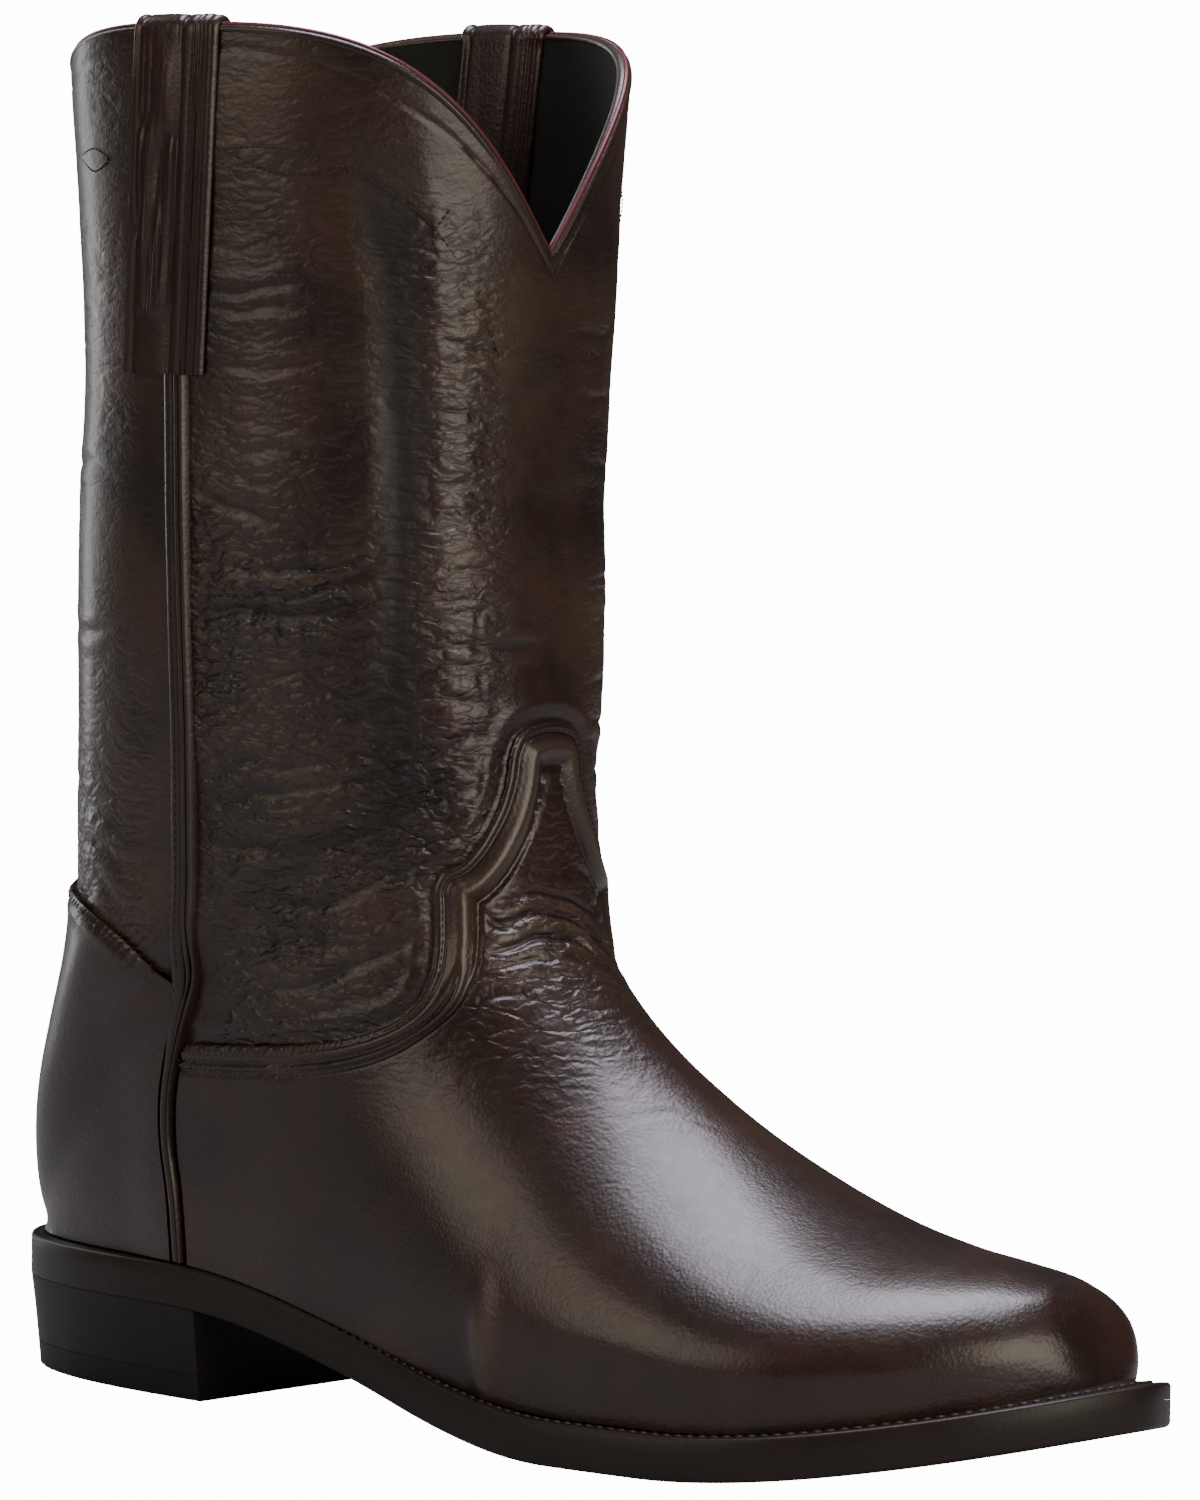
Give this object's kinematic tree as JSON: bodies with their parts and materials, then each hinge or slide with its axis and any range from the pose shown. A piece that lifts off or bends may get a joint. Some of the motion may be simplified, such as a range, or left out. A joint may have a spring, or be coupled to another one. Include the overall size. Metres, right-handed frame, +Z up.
{
  "type": "roper boot",
  "caption": "Pull-on right leather boot with a mid-height shaft, notched collar, pull straps, corded side seams, round toe, welted sole and low block heel.",
  "frame": {"origin": "middle of the heel's flat underside, on the floor, on the sole's long axis", "axes": "+X from the heel towards the toe, +Y towards the wearer's left, which is the inner side of this right boot, +Z up the shaft"},
  "size_m": [0.303, 0.1158, 0.3085],
  "materials": {
    "upper_leather": "glossy dark black-cherry smooth leather, creased",
    "vamp_leather": "glossy dark black-cherry leather with a fine grain",
    "binding": "burgundy folded binding, semi-gloss",
    "insole_leather": "matte tan lining leather",
    "sole_edge": "dark waxed edge",
    "heel_rubber": "matte black rubber"
  },
  "bodies": {
    "root": {"upper": "upper_leather", "vamp": "vamp_leather", "counter": "vamp_leather", "side_piping_right": "upper_leather", "side_piping_left": "upper_leather", "collar_bead": "binding", "pull_strap_right": "upper_leather", "pull_strap_left": "upper_leather", "insole": "insole_leather", "welt": "sole_edge", "heel_seat": "sole_edge", "outsole": "sole_edge", "heel_stack": "sole_edge", "heel_cap": "heel_rubber"}
  },
  "joints": []
}
